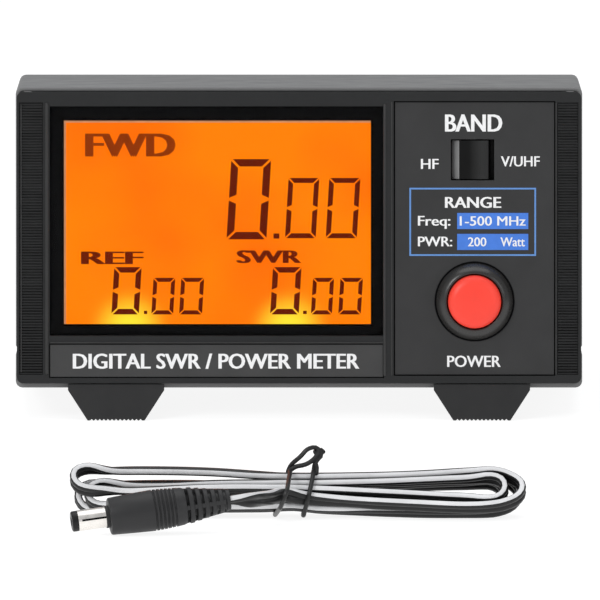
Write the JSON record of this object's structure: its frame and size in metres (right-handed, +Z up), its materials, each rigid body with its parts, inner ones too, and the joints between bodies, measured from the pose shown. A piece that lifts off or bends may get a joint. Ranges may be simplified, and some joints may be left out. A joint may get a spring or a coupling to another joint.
{
  "type": "swr meter",
  "caption": "Bench SWR and power meter, tilted on fold-down feet, with a lit display, band rocker, power button, rear coaxial sockets and a tied power lead.",
  "frame": {"origin": "on the floor, under the middle of the meter's box without its power lead", "axes": "+X to the right seen from the front, +Y from the front face to the rear sockets, +Z up"},
  "size_m": [0.153, 0.3331, 0.0896],
  "materials": {
    "cover_paint": "satin grey powder coat",
    "bezel_plastic": "fine matt texture",
    "panel_plastic": "fine matt texture with print",
    "foot_plastic": "matt",
    "black_plastic": "semi-gloss black",
    "red_plastic": "satin red",
    "window_acrylic": "clear polished",
    "lcd_glass": "amber, lit from behind",
    "diffuser_acrylic": "frosted",
    "led_resin": "clear yellow resin",
    "board_laminate": "solder resist",
    "tinned_steel": "tin plate",
    "nickel": "nickel plate",
    "brass": "bright",
    "screw_steel": "zinc plate",
    "white_resin": "satin white",
    "rubber": "matt",
    "cord_vinyl": "satin black",
    "ribbon_vinyl": "satin grey"
  },
  "bodies": {
    "meter": {"bottom_chassis": "cover_paint", "top_cover": "cover_paint", "left_front_screw": "screw_steel", "left_rear_screw": "screw_steel", "right_front_screw": "screw_steel", "right_rear_screw": "screw_steel", "front_bezel": "bezel_plastic", "rear_panel": "cover_paint", "display_window": "window_acrylic", "lcd_frame": "black_plastic", "lcd_glass": "lcd_glass", "backlight_diffuser": "diffuser_acrylic", "left_backlight_led": "led_resin", "right_backlight_led": "led_resin", "display_board": "board_laminate", "title_plate": "panel_plastic", "control_plate": "panel_plastic", "band_switch_body": "black_plastic", "power_button_ring": "black_plastic", "power_button_nut": "nickel", "power_switch_body": "black_plastic", "power_button_spring": "screw_steel", "left_foot_bracket": "foot_plastic", "right_foot_bracket": "foot_plastic", "left_foot_pin": "screw_steel", "right_foot_pin": "screw_steel", "left_rear_foot": "rubber", "right_rear_foot": "rubber", "vuhf_antenna_socket": "nickel", "vuhf_antenna_insulator": "white_resin", "vuhf_antenna_contact": "brass", "vuhf_transmitter_socket": "nickel", "vuhf_transmitter_insulator": "white_resin", "vuhf_transmitter_contact": "brass", "hf_transmitter_socket": "nickel", "hf_transmitter_insulator": "white_resin", "hf_transmitter_contact": "brass", "hf_antenna_socket": "nickel", "hf_antenna_insulator": "white_resin", "hf_antenna_contact": "brass", "vuhf_coupler_box": "tinned_steel", "vuhf_coupler_lid": "tinned_steel", "vuhf_sensing_line": "brass", "hf_coupler_box": "tinned_steel", "hf_coupler_lid": "tinned_steel", "hf_sensing_line": "brass", "main_board": "board_laminate", "ribbon_cable": "ribbon_vinyl", "power_inlet": "black_plastic", "power_inlet_pin": "nickel", "cord_hank": "cord_vinyl", "cord_tie": "cord_vinyl", "plug_grip": "cord_vinyl", "plug_barrel": "nickel", "plug_tip_ring": "black_plastic"},
    "band_rocker": {"band_rocker": "black_plastic"},
    "power_button": {"power_button_cap": "red_plastic"},
    "left_foot": {"left_tilt_foot": "foot_plastic"},
    "right_foot": {"right_tilt_foot": "foot_plastic"}
  },
  "joints": [
    {"name": "band_rocker_tip", "type": "hinge", "parent": "meter", "child": "band_rocker", "pos_m": [0.04685, -0.04591, 0.06976], "axis": [0, 0.092, 0.9958], "range_deg": [0, 20]},
    {"name": "power_button_press", "type": "slide", "parent": "meter", "child": "power_button", "axis": [0, 0.9958, -0.092], "range_m": [0, 0.0025], "stiffness_N_per_m": 400, "springref_m": -0.004, "deforming": ["power_button_spring"]},
    {"name": "left_foot_fold", "type": "hinge", "parent": "meter", "child": "left_foot", "pos_m": [-0.0494, -0.05373, 0.00676], "axis": [1, 0, 0], "range_deg": [0, 90]},
    {"name": "right_foot_fold", "type": "hinge", "parent": "meter", "child": "right_foot", "pos_m": [0.0494, -0.05373, 0.00676], "axis": [1, 0, 0], "range_deg": [0, 90]}
  ]
}
